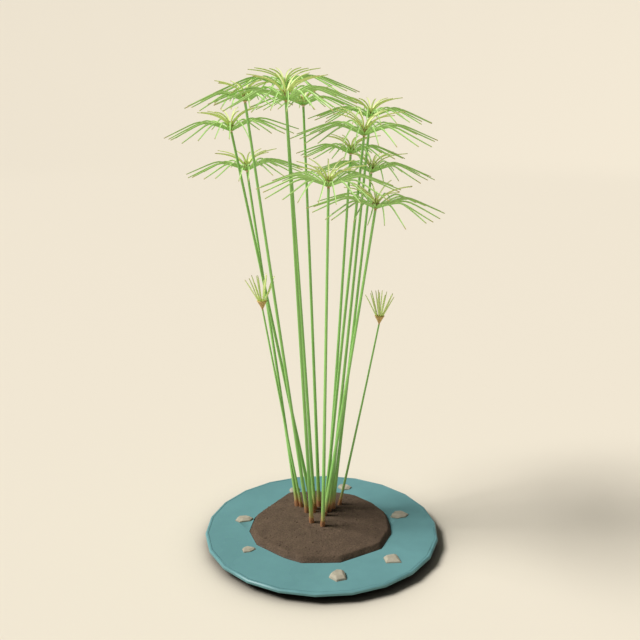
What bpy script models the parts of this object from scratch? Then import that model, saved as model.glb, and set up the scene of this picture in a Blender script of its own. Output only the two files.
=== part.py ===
"""Umbrella papyrus in a wide, shallow glazed dish of water.

Twelve full-grown stems and two young ones stand on a low mound of soil in the
middle of the dish. Seven angular stones stand in the water round the mound.
Metres, +Z up. The origin is the middle of the dish's foot, on the floor.
"""
import bpy
import bmesh
import random
from itertools import product
from math import cos, sin, pi, radians
from mathutils import Matrix, Quaternion, Vector
from mathutils.bvhtree import BVHTree

MM = 0.001

# Dish
DISH_SIDES = 22
DISH_TURN = radians(-92.9)
DISH_R = 202.0 * MM
DISH_H = 20.0 * MM
FOOT_R = 176.0 * MM
FOOT_H = 2.5 * MM
DISH_FLOOR = 6.0 * MM
FLOOR_R = 174.0 * MM
LIP_W = 4.5 * MM
LIP_BEVEL = 2.0 * MM
LIP_H = 6.5 * MM
LIP_EASE = 1.0 * MM

# Fit between pieces that touch
GAP = 0.3 * MM
STEM_SEAT = 1.0 * MM
HUB_SEAT = 0.6 * MM

# Water
WATER_TOP = 19.0 * MM

# Soil mound: outline corners at the water, as angle in degrees and radius in millimetres
MOUND_OUTLINE = (
    (-174, 126), (-152, 124), (-122, 116), (-106, 119), (-75, 117), (-35, 122), (-10, 122),
    (5, 121), (20, 124), (39, 123), (60, 126), (73, 124), (97, 127), (118, 136), (164, 124),
)
SHOULDER_IN = 6.5 * MM
SHOULDER_H = 28.5 * MM
CROWN_SHARE = 0.62
CROWN_H = 33.5 * MM
MOUND_H = 36.0 * MM

# Stone shape: shares of its spacing, size and width
STONE_JITTER = 0.22
STONE_LEAST = 0.86
STONE_LEAN = 0.06
STONE_SHOULDER_H = 0.55
STONE_SHOULDER = 0.90
STONE_CROWN = 0.70

# Stones: name, x, y, width, depth, height above the water (all mm), turn (degrees), corners
STONES = (
    ("stone_left", -138, 27, 33, 18, 5, 8, 6),
    ("stone_left_front", -122, -74, 25, 15, 4, 20, 5),
    ("stone_front", 26, -154, 30, 31, 7, 35, 5),
    ("stone_right_front", 116, -104, 34, 30, 5, -25, 4),
    ("stone_right", 140, 43, 36, 22, 5, 12, 6),
    ("stone_back_right", 44, 149, 27, 19, 5, 0, 6),
    ("stone_back_left", -51, 137, 24, 17, 5, 30, 5),
)

# Full-grown stems: foot x, foot y, hub x, hub y, hub z, reach of the umbel's rays (all mm)
STEMS = (
    (-14.5, 27, -143, 40, 696, 106),
    (-25.8, 27, -113, -45, 745, 89),
    (-44.3, 54, -124, 95, 627, 100),
    (-17.4, -9, -51, -100, 749, 109),
    (-12.6, 38, -57, 30, 762, 114),
    (-5, 51, -30.5, 115, 731, 88),
    (13.4, 32, 76.5, 55, 715, 98),
    (5.5, 26, 62.3, -45, 696, 109),
    (9.5, 43, 47, 80, 656, 88),
    (19.8, 42, 83, 110, 622, 106),
    (2.1, -21, 9.1, -125, 631, 102),
    (4.9, 14, 80.2, -65, 590, 103),
)
STEM_FOOT_R = 3.4 * MM
STEM_WAIST_R = 2.6 * MM
STEM_HEAD_R = 1.95 * MM
STEM_WAIST = 0.27
STEM_SIDES = 8

# Young stems: foot x, foot y, cup x, cup y, cup z, reach (all mm)
YOUNG_STEMS = (
    (-36.5, 49, -97, 10, 414, 24.6),
    (32.5, 57, 98.2, 70, 371, 24.6),
)
YOUNG_SHARE = 0.75

# Basal sheaths
SHEATH_L = 15.0 * MM
SHEATH_WALL_FOOT = 0.9 * MM
SHEATH_WALL_HEAD = 0.4 * MM

# Umbels, as shares of the reach: how far out and how high above the root of the rays
RAY_COUNT = 18
RAY_KNEE = (0.46, 0.128)
RAY_TIP = (1.0, -0.075)
INNER_EVERY = 3
INNER_KNEE = (0.20, 0.19)
INNER_TIP = (0.50, 0.28)
HUB_OUTLINE = ((0.0, 0.0), (2.0, 0.0), (4.8, 2.8), (5.2, 4.6), (3.8, 8.6), (0.0, 10.0))
HUB_H = 10.0 * MM
RAY_ROOT = 3.5 * MM
RAY_W = 2.2 * MM
RAY_T = 1.8 * MM
TIP_W = 1.2 * MM
TIP_T = 0.9 * MM
UMBEL_SEED = 100
SHORTEST_RAY = 0.90
FULL_RAY_EVERY = 9
UMBEL_LEAN = 0.35
RAY_CLEAR_OF_STEM = 4.6 * MM
RAY_CLEAR_OF_HUB = 9.0 * MM
RAY_CLEAR_OF_RAY = 3.2 * MM
DODGES = (0, 2, -2, 4, -4, 6, -6, 8, -8, 11, -11, 14, -14)
LIFTS = (0.0, 0.05, -0.05, 0.10, 0.16)
CUTS = (1.0, 0.8, 0.6, 0.45)

# Young umbels
CUP_SIDES = 10
CUP_OUTLINE = (
    (0.0, 0.0), (1.8, 0.0), (7.8, 11.8), (8.2, 12.8), (6.4, 13.6), (3.4, 14.2), (0.0, 14.8),
)
CUP_H = 13.8 * MM
CUP_LEAN = 0.20
TUFT_W = 1.4 * MM
TUFT_T = 1.0 * MM
TUFT_RISE = 40.0 * MM
OUTER_TUFT_RISE = 0.90
INNER_TUFT_SPREAD = 0.55


def clear_scene():
    """Remove every object that the scene starts with."""
    for item in list(bpy.data.objects):
        bpy.data.objects.remove(item)


def material(name, colour, roughness, metallic=0.0):
    """A plain Principled material."""
    made = bpy.data.materials.new(name)
    made.use_nodes = True
    shader = made.node_tree.nodes["Principled BSDF"]
    shader.inputs["Base Color"].default_value = (*colour, 1.0)
    shader.inputs["Roughness"].default_value = roughness
    shader.inputs["Metallic"].default_value = metallic
    return made


def add_object(name, bm, finish, matrix=None):
    """Turn a bmesh into a linked object with one material."""
    bmesh.ops.recalc_face_normals(bm, faces=bm.faces)
    mesh = bpy.data.meshes.new(name)
    bm.to_mesh(mesh)
    bm.free()
    mesh.materials.append(finish)
    item = bpy.data.objects.new(name, mesh)
    if matrix is not None:
        item.matrix_world = matrix
    bpy.context.scene.collection.objects.link(item)
    return item


def polar(angle, radius, height):
    """A point from its angle round +Z, its radius and its height."""
    return Vector((radius * cos(angle), radius * sin(angle), height))


def turned(profile, sides, start=0.0):
    """A closed solid spun from (radius, height) points that begin and end on the axis."""
    bm = bmesh.new()
    line = [bm.verts.new(polar(start, radius, height)) for radius, height in profile]
    edges = [bm.edges.new(pair) for pair in zip(line, line[1:])]
    bmesh.ops.spin(bm, geom=line + edges, cent=(0, 0, 0), axis=(0, 0, 1), angle=2 * pi,
                   steps=sides, use_merge=True)
    bmesh.ops.remove_doubles(bm, verts=bm.verts, dist=0.01 * MM)
    return bm


def add_prism(bm, corners, bottom, top):
    """Add an upright prism on an outline of (x, y) corners; returns its top face."""
    floor = bm.faces.new([bm.verts.new((x, y, bottom)) for x, y in corners])
    made = bmesh.ops.extrude_face_region(bm, geom=[floor])["geom"]
    lid = next(g for g in made if isinstance(g, bmesh.types.BMFace))
    bmesh.ops.translate(bm, verts=lid.verts, vec=(0, 0, top - bottom))
    return lid


def raise_face(bm, face, height, scale, shift=(0.0, 0.0)):
    """Extrude a solid's level top face up to a height, shrunk about its middle."""
    lid = bmesh.ops.extrude_discrete_faces(bm, faces=[face])["faces"][0]
    middle = lid.calc_center_median()
    for vert in lid.verts:
        vert.co.x = middle.x + (vert.co.x - middle.x) * scale + shift[0]
        vert.co.y = middle.y + (vert.co.y - middle.y) * scale + shift[1]
        vert.co.z = height
    return lid


def inner_wall(height):
    """The radius of the dish's inner wall at a height: it leans out from the floor to the lip."""
    share = (height - DISH_FLOOR) / (DISH_H - LIP_EASE - DISH_FLOOR)
    return FLOOR_R + (DISH_R - LIP_W - LIP_EASE - FLOOR_R) * share


def dish():
    """The dish: a small foot, an underside that slopes out to a thin lip, and a flat floor."""
    lip_under = DISH_H - LIP_H
    wall_r = DISH_R - LIP_W
    profile = [
        (0.0, 0.0), (FOOT_R, 0.0), (FOOT_R + LIP_BEVEL, FOOT_H),
        (DISH_R - 2 * LIP_BEVEL, lip_under), (DISH_R, lip_under + LIP_BEVEL),
        (DISH_R, DISH_H - LIP_BEVEL), (DISH_R - LIP_BEVEL, DISH_H), (wall_r, DISH_H),
        (inner_wall(DISH_H - LIP_EASE), DISH_H - LIP_EASE), (FLOOR_R, DISH_FLOOR), (0.0, DISH_FLOOR),
    ]
    glaze = material("teal_glaze", (0.13, 0.32, 0.33), 0.15)
    return add_object("dish", turned(profile, DISH_SIDES, DISH_TURN), glaze)


def mound_corners(grow=0.0):
    """The mound's outline at the water, grown by a margin."""
    return [tuple(polar(radians(angle), radius * MM + grow, 0.0).xy) for angle, radius in MOUND_OUTLINE]


def soil_mound():
    """The mound: upright below the water, a short steep bank, then a low crown."""
    bm = bmesh.new()
    top = add_prism(bm, mound_corners(), DISH_FLOOR + GAP, WATER_TOP)
    mean_r = sum(radius for _, radius in MOUND_OUTLINE) * MM / len(MOUND_OUTLINE)
    bank = raise_face(bm, top, SHOULDER_H, 1.0 - SHOULDER_IN / mean_r)
    crown = raise_face(bm, bank, CROWN_H, CROWN_SHARE)
    peak = bmesh.ops.poke(bm, faces=[crown])["verts"][0]
    peak.co.z = MOUND_H
    bmesh.ops.triangulate(bm, faces=[f for f in bm.faces if len(f.verts) == 4])
    return add_object("soil_mound", bm, material("soil", (0.125, 0.083, 0.055), 0.9))


def stone_corners(seed, x, y, width, depth, turn, corners, grow=0.0):
    """An irregular stone outline of a few corners."""
    chance = random.Random(seed)
    spin = Matrix.Rotation(radians(turn), 3, "Z")
    points = []
    for k in range(corners):
        angle = 2 * pi * (k + chance.uniform(-STONE_JITTER, STONE_JITTER)) / corners
        share = chance.uniform(STONE_LEAST, 1.0)
        corner = Vector((cos(angle) * width / 2, sin(angle) * depth / 2, 0.0)) * MM * share
        corner += corner.normalized() * grow
        corner = spin @ corner
        points.append((x * MM + corner.x, y * MM + corner.y))
    return points


def stone(seed, name, x, y, width, depth, height, turn, corners, finish):
    """One stone: it stands on the dish's floor and its faceted top is out of the water."""
    outline = stone_corners(seed, x, y, width, depth, turn, corners)
    bm = bmesh.new()
    lid = add_prism(bm, outline, DISH_FLOOR + GAP, WATER_TOP)
    lid = raise_face(bm, lid, WATER_TOP + STONE_SHOULDER_H * height * MM, STONE_SHOULDER)
    lean = STONE_LEAN * width * MM
    raise_face(bm, lid, WATER_TOP + height * MM, STONE_CROWN, (-lean, lean))
    return add_object(name, bm, finish)


def water():
    """The water: it fills the dish, with a hole for the mound and for each stone."""
    bottom = DISH_FLOOR + GAP
    profile = [
        (0.0, bottom), (inner_wall(bottom) - 2 * GAP, bottom),
        (inner_wall(WATER_TOP) - 2 * GAP, WATER_TOP), (0.0, WATER_TOP),
    ]
    look = material("water", (0.16, 0.36, 0.37), 0.05)
    body = add_object("water", turned(profile, DISH_SIDES, DISH_TURN), look)
    cutter_bm = bmesh.new()
    outlines = [mound_corners(GAP)]
    for seed, (_, x, y, width, depth, _, turn, corners) in enumerate(STONES):
        outlines.append(stone_corners(seed, x, y, width, depth, turn, corners, 1.5 * GAP))
    for corners in outlines:
        add_prism(cutter_bm, corners, DISH_FLOOR - 2 * MM, DISH_H + 2 * MM)
    cutter = add_object("water_cutter", cutter_bm, look)
    cutter.hide_render = True
    cutter.display_type = "WIRE"
    cut = body.modifiers.new("room for mound and stones", "BOOLEAN")
    cut.operation = "DIFFERENCE"
    cut.solver = "EXACT"
    cut.object = cutter
    return body


def along(foot, head):
    """A matrix that puts the origin at foot and +Z towards head."""
    turn = (head - foot).to_track_quat("Z", "Y")
    return Matrix.Translation(foot) @ turn.to_matrix().to_4x4()


def stem_line(entry, ground):
    """Where a stem starts, just above the soil, and where it ends."""
    foot_x, foot_y, hub_x, hub_y, hub_z, _ = entry
    hit = ground.ray_cast(Vector((foot_x * MM, foot_y * MM, 1.0)), Vector((0, 0, -1)))[0]
    head = Vector((hub_x, hub_y, hub_z)) * MM
    return hit + Vector((0, 0, STEM_SEAT)), head


def stem(name, foot, head, thickness, finish):
    """A straight stem that tapers quickly near its foot and slowly above."""
    length = (head - foot).length
    profile = [
        (0.0, 0.0), (STEM_FOOT_R * thickness, 0.0), (STEM_WAIST_R * thickness, STEM_WAIST * length),
        (STEM_HEAD_R * thickness, length), (0.0, length),
    ]
    return add_object(name, turned(profile, STEM_SIDES), finish, along(foot, head))


def sheath(name, foot, head, thickness, finish):
    """A thin tapering sleeve round the foot of a stem."""
    share = SHEATH_L / (STEM_WAIST * (head - foot).length)
    low = STEM_FOOT_R * thickness + GAP
    high = (STEM_FOOT_R + (STEM_WAIST_R - STEM_FOOT_R) * share) * thickness + GAP
    profile = [
        (low, 0.0), (low + SHEATH_WALL_FOOT, 0.0), (high + SHEATH_WALL_HEAD, SHEATH_L), (high, SHEATH_L),
    ]
    bm = bmesh.new()
    ring = [bm.verts.new((radius, 0.0, height)) for radius, height in profile]
    edges = [bm.edges.new((ring[k], ring[(k + 1) % 4])) for k in range(4)]
    bmesh.ops.spin(bm, geom=ring + edges, cent=(0, 0, 0), axis=(0, 0, 1), angle=2 * pi,
                   steps=STEM_SIDES, use_merge=True)
    bmesh.ops.remove_doubles(bm, verts=bm.verts, dist=0.01 * MM)
    return add_object(name, bm, finish, along(foot, head))


def line_gap(a, b, c, d):
    """The shortest distance between the straight lines a-b and c-d, ends included."""
    u, v, w = b - a, d - c, a - c
    uu, uv, vv, uw, vw = u.dot(u), u.dot(v), v.dot(v), u.dot(w), v.dot(w)
    base = uu * vv - uv * uv
    s = 0.0 if base < 1e-12 else min(max((uv * vw - vv * uw) / base, 0.0), 1.0)
    t = min(max((uv * s + vw) / vv, 0.0), 1.0)
    s = min(max((uv * t - uw) / uu, 0.0), 1.0)
    return (w + u * s - v * t).length


def is_clear(path, stems, rays):
    """True if a ray's path stays clear of the stems, hubs and rays of other umbels."""
    for a, b in zip(path, path[1:]):
        if any(line_gap(a, b, c, d) < RAY_CLEAR_OF_STEM for c, d in stems):
            return False
        if any(line_gap(a, b, d, d + (d - c).normalized() * HUB_H) < RAY_CLEAR_OF_HUB for c, d in stems):
            return False
        if any(line_gap(a, b, c, d) < RAY_CLEAR_OF_RAY for c, d in rays):
            return False
    return True


def draw_out(bm, face, path, sizes):
    """Draw a hub face out along a path into a flat, tapering ray."""
    here = face.calc_center_median()
    for point, (width, thick) in zip(path, sizes):
        heading = (point - here).normalized()
        side = Vector((0, 0, 1)).cross(heading).normalized()
        up = heading.cross(side)
        face = bmesh.ops.extrude_discrete_faces(bm, faces=[face])["faces"][0]
        middle = face.calc_center_median()
        for vert in face.verts:
            offset = vert.co - middle
            across = width / 2 if offset.dot(side) > 0 else -width / 2
            above = thick / 2 if offset.dot(up) > 0 else -thick / 2
            vert.co = point + side * across + up * above
        here = point


def ring_faces(bm, low, high):
    """The faces of a turned solid whose middles lie between two heights, in order round it."""
    found = [f for f in bm.faces if low < f.calc_center_median().z < high]
    return sorted(found, key=lambda f: Vector(f.calc_center_median().xy).angle_signed(Vector((1, 0))))


def ray_path(angle, knee, tip, reach, lift):
    """The knee and the tip of a ray, arched more or less by lift."""
    return [
        polar(angle, knee[0] * reach, RAY_ROOT + (knee[1] + lift / 2) * reach),
        polar(angle, tip[0] * reach, RAY_ROOT + (tip[1] + lift) * reach),
    ]


def clear_path(frame, root, angle, knee, tip, reach, stems, rays):
    """The first way for a ray that is clear: turned aside, arched more or less, or cut shorter."""
    for cut, lift, dodge in product(CUTS, LIFTS, DODGES):
        path = ray_path(angle + radians(dodge), knee, tip, reach * cut, lift)
        in_world = [frame @ point for point in [root, *path]]
        if is_clear(in_world, stems, rays):
            return path, in_world
    raise RuntimeError(f"a ray has no clear way near {tuple(root)}")


def head_frame(foot, head, lean):
    """A matrix just above a stem's head that leans by a share of the stem's lean."""
    axis = (head - foot).normalized()
    full = Vector((0, 0, 1)).rotation_difference(axis)
    tilt = Quaternion().slerp(full, lean)
    return Matrix.Translation(head + axis * HUB_SEAT) @ tilt.to_matrix().to_4x4()


def umbel(number, entry, stem_lines, placed, finish):
    """An umbrella of rays drawn out of a small hub; each ray bends aside for what is in its way."""
    chance = random.Random(UMBEL_SEED + number)
    foot, head = stem_lines[number]
    others = stem_lines[:number] + stem_lines[number + 1:]
    reach = entry[5] * MM
    frame = head_frame(foot, head, UMBEL_LEAN)
    profile = [(radius * MM, height * MM) for radius, height in HUB_OUTLINE]
    bm = turned(profile, RAY_COUNT, -pi / RAY_COUNT)
    outer = ring_faces(bm, HUB_OUTLINE[2][1] * MM, HUB_OUTLINE[3][1] * MM)
    inner = ring_faces(bm, HUB_OUTLINE[3][1] * MM, HUB_OUTLINE[4][1] * MM)[::INNER_EVERY]
    own = []
    for faces, knee, tip in ((outer, RAY_KNEE, RAY_TIP), (inner, INNER_KNEE, INNER_TIP)):
        for k, face in enumerate(faces):
            middle = face.calc_center_median()
            angle = Vector((1, 0)).angle_signed(Vector(middle.xy)) * -1
            share = 1.0 if k % FULL_RAY_EVERY == 0 else chance.uniform(SHORTEST_RAY, 1.0)
            path, in_world = clear_path(frame, middle, angle, knee, tip, reach * share, others, placed)
            own += list(zip(in_world, in_world[1:]))
            draw_out(bm, face, path, ((RAY_W, RAY_T), (TIP_W, TIP_T)))
    placed += own
    return add_object(f"umbel_{number + 1:02d}", bm, finish, frame)


def young_umbel(number, entry, foot, head, finish):
    """A bract cup with a tuft of upright rays drawn out of its rim."""
    reach = entry[5] * MM
    profile = [(radius * MM, height * MM) for radius, height in CUP_OUTLINE]
    bm = turned(profile, CUP_SIDES)
    rim = ring_faces(bm, CUP_OUTLINE[4][1] * MM, CUP_OUTLINE[5][1] * MM)
    for k, face in enumerate(rim):
        middle = face.calc_center_median()
        angle = Vector((1, 0)).angle_signed(Vector(middle.xy)) * -1
        spread = reach if k % 2 == 0 else INNER_TUFT_SPREAD * reach
        rise = CUP_H + TUFT_RISE * (OUTER_TUFT_RISE if k % 2 == 0 else 1.0)
        draw_out(bm, face, [polar(angle, spread, rise)], [(TUFT_W, TUFT_T)])
    return add_object(f"young_umbel_{number + 1}", bm, finish, head_frame(foot, head, CUP_LEAN))


def main():
    """Build every piece."""
    clear_scene()
    dish()
    mound = soil_mound()
    water()
    chip = material("stone", (0.44, 0.40, 0.32), 0.85)
    for seed, entry in enumerate(STONES):
        stone(seed, *entry, chip)
    ground = BVHTree.FromPolygons([v.co for v in mound.data.vertices],
                                  [tuple(p.vertices) for p in mound.data.polygons])
    green = material("stem_green", (0.13, 0.32, 0.06), 0.5)
    leaf = material("ray_green", (0.22, 0.45, 0.09), 0.55)
    brown = material("sheath_brown", (0.33, 0.13, 0.04), 0.75)
    tuft = material("young_green", (0.30, 0.48, 0.10), 0.55)
    stem_lines = [stem_line(entry, ground) for entry in STEMS]
    young_lines = [stem_line(entry, ground) for entry in YOUNG_STEMS]
    placed = []
    for k, entry in enumerate(STEMS):
        foot, head = stem_lines[k]
        stem(f"stem_{k + 1:02d}", foot, head, 1.0, green)
        sheath(f"sheath_{k + 1:02d}", foot, head, 1.0, brown)
        umbel(k, entry, stem_lines + young_lines, placed, leaf)
    for k, entry in enumerate(YOUNG_STEMS):
        foot, head = young_lines[k]
        stem(f"young_stem_{k + 1}", foot, head, YOUNG_SHARE, green)
        sheath(f"young_sheath_{k + 1}", foot, head, YOUNG_SHARE, brown)
        young_umbel(k, entry, foot, head, tuft)


main()
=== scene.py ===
"""Umbrella papyrus growing from a soil mound in a wide, shallow glazed dish of water."""

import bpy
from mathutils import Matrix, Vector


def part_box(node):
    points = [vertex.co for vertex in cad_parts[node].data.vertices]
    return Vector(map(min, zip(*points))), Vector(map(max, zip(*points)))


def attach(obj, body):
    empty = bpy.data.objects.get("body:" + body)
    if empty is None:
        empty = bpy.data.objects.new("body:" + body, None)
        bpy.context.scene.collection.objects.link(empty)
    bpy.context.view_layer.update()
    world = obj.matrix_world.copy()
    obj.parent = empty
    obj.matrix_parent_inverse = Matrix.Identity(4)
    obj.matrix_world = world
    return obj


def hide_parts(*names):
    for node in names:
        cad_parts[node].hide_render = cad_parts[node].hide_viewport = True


bl_info = {
    "name": "Potted papyrus",
    "version": (1, 0, 0),
    "blender": (4, 5, 0),
    "location": "3D View > Sidebar > Papyrus",
    "description": "Builds an umbrella papyrus in a shallow glazed dish of water",
    "category": "Object",
}

import random
from math import cos, pi, radians, sin, sqrt, tau

import bmesh
import bpy
from bpy.props import FloatProperty, FloatVectorProperty, IntProperty, PointerProperty
from bpy.types import Operator, Panel, PropertyGroup
from mathutils import Matrix, Quaternion, Vector, noise
from mathutils.bvhtree import BVHTree

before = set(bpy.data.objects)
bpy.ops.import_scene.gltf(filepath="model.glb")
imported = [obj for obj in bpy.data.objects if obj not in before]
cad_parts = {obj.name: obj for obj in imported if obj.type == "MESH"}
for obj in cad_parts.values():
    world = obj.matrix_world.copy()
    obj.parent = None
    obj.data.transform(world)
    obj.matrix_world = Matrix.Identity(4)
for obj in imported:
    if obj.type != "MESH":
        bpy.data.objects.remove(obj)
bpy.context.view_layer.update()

MM = 0.001

# Sides of the dish, the direction of its first corner and its radius
DISH_SIDES = 22
DISH_TURN = radians(-92.9)
DISH_R = 202.0 * MM
# Outlines turned round the axis: radius and height in millimetres
DISH_UNDERSIDE = ((0.0, 0.0), (175.4, 0.0), (176.4, 0.4), (178.0, 2.5), (188.0, 8.0), (198.0, 13.4))
DISH_INSIDE = ((196.2, 19.0), (185.0, 12.4), (174.0, 6.0), (0.0, 6.0))
HUB_OUTLINE = (
    (0.0, 0.0), (2.5, 0.0), (3.4, 0.7), (3.6, 1.8), (4.6, 3.2), (5.9, 5.6), (6.3, 7.8), (5.4, 9.4),
    (2.6, 10.4), (0.0, 10.6),
)
CUP_OUTLINE = (
    (0.0, 0.0), (1.6, 0.0), (2.4, 1.8), (4.8, 6.6), (7.3, 11.2), (8.2, 12.6), (8.1, 13.4), (7.2, 13.8),
    (5.6, 13.0), (2.5, 12.4), (0.0, 12.2),
)
CUP_HEIGHT = 13.8 * MM

# Radius of the soil's grid before it is shaped, and how far out crumbs lie
GRID_R = 0.1
CRUMB_REACH = 124 * MM
# How far a stone is pushed out all round, and the longest edge left on it
STONE_PUSH = 1.3 * MM
STONE_EDGE = 2.2 * MM

# How wide a band of a stem's end is measured from the frame, and how deep a stem is sunk
END_BAND = 1.3 * MM
STEM_SINK = 3.0 * MM
# A young stem's thickness as a share of a full-grown one's
YOUNG_SHARE = 0.75
# The scales of a sheath: gap from the stem, flare, height and point in millimetres, and angle covered
SHEATH_SCALES = ((0.2, 0.25, 10.0, 7.5, tau), (0.4, 0.45, 6.0, 6.5, 3.6), (0.55, 0.55, 3.5, 4.5, 2.8))
SHEATH_COLUMNS = 14
SHEATH_ROWS = 6

# Paths of the rays as shares of their reach: how far out and how high above their root
OUTER_PATH = (
    (0.018, -0.020), (0.07, 0.006), (0.16, 0.044), (0.28, 0.092), (0.39, 0.122), (0.49, 0.124), (0.63, 0.078),
    (0.81, 0.004), (1.0, -0.074),
)
INNER_PATH = ((0.02, 0.02), (0.08, 0.10), (0.16, 0.17), (0.27, 0.225), (0.40, 0.262), (0.55, 0.284))
# Across a ray: two raised edges, a shallow groove and a keel
RAY_SECTION = ((1.0, 0.55), (0.0, 0.15), (-1.0, 0.55), (0.0, -1.0))
RAY_STEPS = 12
# How much of its stem's lean an umbel and a young umbel's cup take up
UMBEL_LEAN = 0.35
CUP_LEAN = 0.20
# Umbels whose upright rays stay lower, and by what share
LOW_TUFTS = {"umbel_05": 0.8}
# Nearest a ray comes to another umbel's stem and ray, and how far off a ray needn't be looked at
RAY_CLEARANCE = 3.6 * MM
RAY_GAP = 3.2 * MM
FAR_RAY = 60 * MM
# Turns tried for a ray, in degrees, the smallest first
DODGES = (0, 2, -2, 4, -4, 6, -6, 8, -8, 10, -10, 12, -12)
# Rays of a young umbel in millimetres: how far out and how high the tip is, and how far out the root
TUFT_EVEN = (21.0, 55.0, 5.2)
TUFT_ODD = (27.0, 51.0, 5.2)
TUFT_INNER = (10.0, 57.0, 2.5)
INNER_TUFT_RAYS = 3

# The floor: flat for some metres, bent up on a radius to a slope in degrees, then straight
FLOOR_FLAT = 5.0
FLOOR_BEND = 8.0
FLOOR_SLOPE = 6
FLOOR_FAR = 160.0


# ---------------------------------------------------------------- measuring the frame

def node_points(node):
    """The corners of a CAD node."""
    return [vertex.co.copy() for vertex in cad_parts[node].data.vertices]


def middle(points):
    """The middle of the box round some points."""
    low = Vector([min(p[k] for p in points) for k in range(3)])
    high = Vector([max(p[k] for p in points) for k in range(3)])
    return (low + high) / 2


def stem_ends(node):
    """The middle of a stem's foot and of its head."""
    points = node_points(node)
    low = min(p.z for p in points)
    high = max(p.z for p in points)
    foot = middle([p for p in points if p.z < low + END_BAND])
    head = middle([p for p in points if p.z > high - END_BAND])
    return foot, head


def nodes_named(start):
    """The CAD nodes whose names begin with a word, in order."""
    return sorted(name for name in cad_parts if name.startswith(start))


def node_tree(node):
    """A search tree of a CAD node's surface."""
    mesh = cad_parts[node].data
    return BVHTree.FromPolygons([v.co for v in mesh.vertices], [tuple(p.vertices) for p in mesh.polygons])


def merged_copy(node):
    """A bmesh copy of a CAD node with its loose triangles joined and its flat faces whole."""
    bm = bmesh.new()
    bm.from_mesh(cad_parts[node].data)
    bmesh.ops.remove_doubles(bm, verts=bm.verts, dist=0.01 * MM)
    bmesh.ops.dissolve_limit(bm, angle_limit=radians(1), verts=bm.verts, edges=bm.edges)
    return bm


# ---------------------------------------------------------------- small geometry helpers

def polar(angle, radius, height=0.0):
    """A point from its angle round +Z, its radius and its height."""
    return Vector((radius * cos(angle), radius * sin(angle), height))


def angle_of(point):
    """The angle of a point round +Z."""
    return -Vector((1, 0)).angle_signed(Vector(point.xy).normalized())


def in_mm(outline):
    """An outline given in millimetres, in metres."""
    return [(radius * MM, height * MM) for radius, height in outline]


def only(items, kind):
    """Those of some bmesh items that are of one kind."""
    return [item for item in items if isinstance(item, kind)]


def to_mesh(name, bm):
    """A new mesh made from a bmesh, which is freed."""
    mesh = bpy.data.meshes.new(name)
    bm.to_mesh(mesh)
    bm.free()
    return mesh


def append_mesh(bm, mesh):
    """Add a mesh to a bmesh and give back its new corners and faces."""
    corners, faces = len(bm.verts), len(bm.faces)
    bm.from_mesh(mesh)
    bm.verts.ensure_lookup_table()
    bm.faces.ensure_lookup_table()
    return bm.verts[corners:], bm.faces[faces:]


def link(thing):
    """Put an object into the scene."""
    bpy.context.scene.collection.objects.link(thing)


def spin_line(points, steps, weld):
    """A line of points turned once round the axis, with corners closer than weld joined."""
    bm = bmesh.new()
    line = [bm.verts.new(point) for point in points]
    edges = [bm.edges.new(pair) for pair in zip(line, line[1:])]
    bmesh.ops.spin(bm, geom=line + edges, cent=(0, 0, 0), axis=(0, 0, 1), angle=tau, steps=steps,
                   use_merge=True)
    bmesh.ops.remove_doubles(bm, verts=bm.verts, dist=weld)
    return bm


def draw_out(bm, steps, shift):
    """Draw the only face of a bmesh out into a closed bar, step by step."""
    lid = only(bmesh.ops.extrude_face_region(bm, geom=bm.faces[:])["geom"], bmesh.types.BMFace)[0]
    bmesh.ops.translate(bm, verts=lid.verts, vec=shift)
    for _ in range(steps - 1):
        lid = bmesh.ops.extrude_discrete_faces(bm, faces=[lid])["faces"][0]
        bmesh.ops.translate(bm, verts=lid.verts, vec=shift)
    bmesh.ops.recalc_face_normals(bm, faces=bm.faces)


def spin_profile(profile, steps, start=0.0):
    """A closed solid turned from (radius, height) points that begin and end on the axis."""
    bm = spin_line([polar(start, radius, height) for radius, height in profile], steps, 0.005 * MM)
    bmesh.ops.recalc_face_normals(bm, faces=bm.faces)
    return bm


def arc(centre_r, centre_z, radius, first, last, count):
    """Profile points along an arc, angles in degrees from straight out."""
    angles = [radians(first + (last - first) * k / count) for k in range(count + 1)]
    return [(centre_r + radius * cos(a), centre_z + radius * sin(a)) for a in angles]


def smooth_points(points, count):
    """Points spread along a smooth curve through a few given ones."""
    made = []
    last = len(points) - 1
    for k in range(count + 1):
        place = k / count * last
        index = min(int(place), last - 1)
        t = place - index
        a = points[max(index - 1, 0)]
        b = points[index]
        c = points[index + 1]
        d = points[min(index + 2, last)]
        made.append((b * 2 + (c - a) * t + (a * 2 - b * 5 + c * 4 - d) * t ** 2
                     + (b * 3 - a - c * 3 + d) * t ** 3) / 2)
    return made


def line_gap(a, b, c, d):
    """The shortest distance between the straight lines a-b and c-d, ends included."""
    u, v, w = b - a, d - c, a - c
    uu, uv, vv, uw, vw = u.dot(u), u.dot(v), v.dot(v), u.dot(w), v.dot(w)
    base = uu * vv - uv * uv
    s = 0.0 if base < 1e-14 else min(max((uv * vw - vv * uw) / base, 0.0), 1.0)
    t = min(max((uv * s + vw) / vv, 0.0), 1.0)
    s = min(max((uv * t - uw) / uu, 0.0), 1.0)
    return (w + u * s - v * t).length


def extruded_tube(sides, steps):
    """A plain closed tube of unit radius from z = 0 to z = 1, drawn out ring by ring."""
    bm = bmesh.new()
    bmesh.ops.create_circle(bm, cap_ends=True, segments=sides, radius=1.0)
    draw_out(bm, steps, (0, 0, 1 / steps))
    return bm


def axis_frame(foot, head):
    """A matrix that puts the origin at foot and +Z towards head."""
    turn = (head - foot).to_track_quat("Z", "Y")
    return Matrix.Translation(foot) @ turn.to_matrix().to_4x4()


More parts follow.
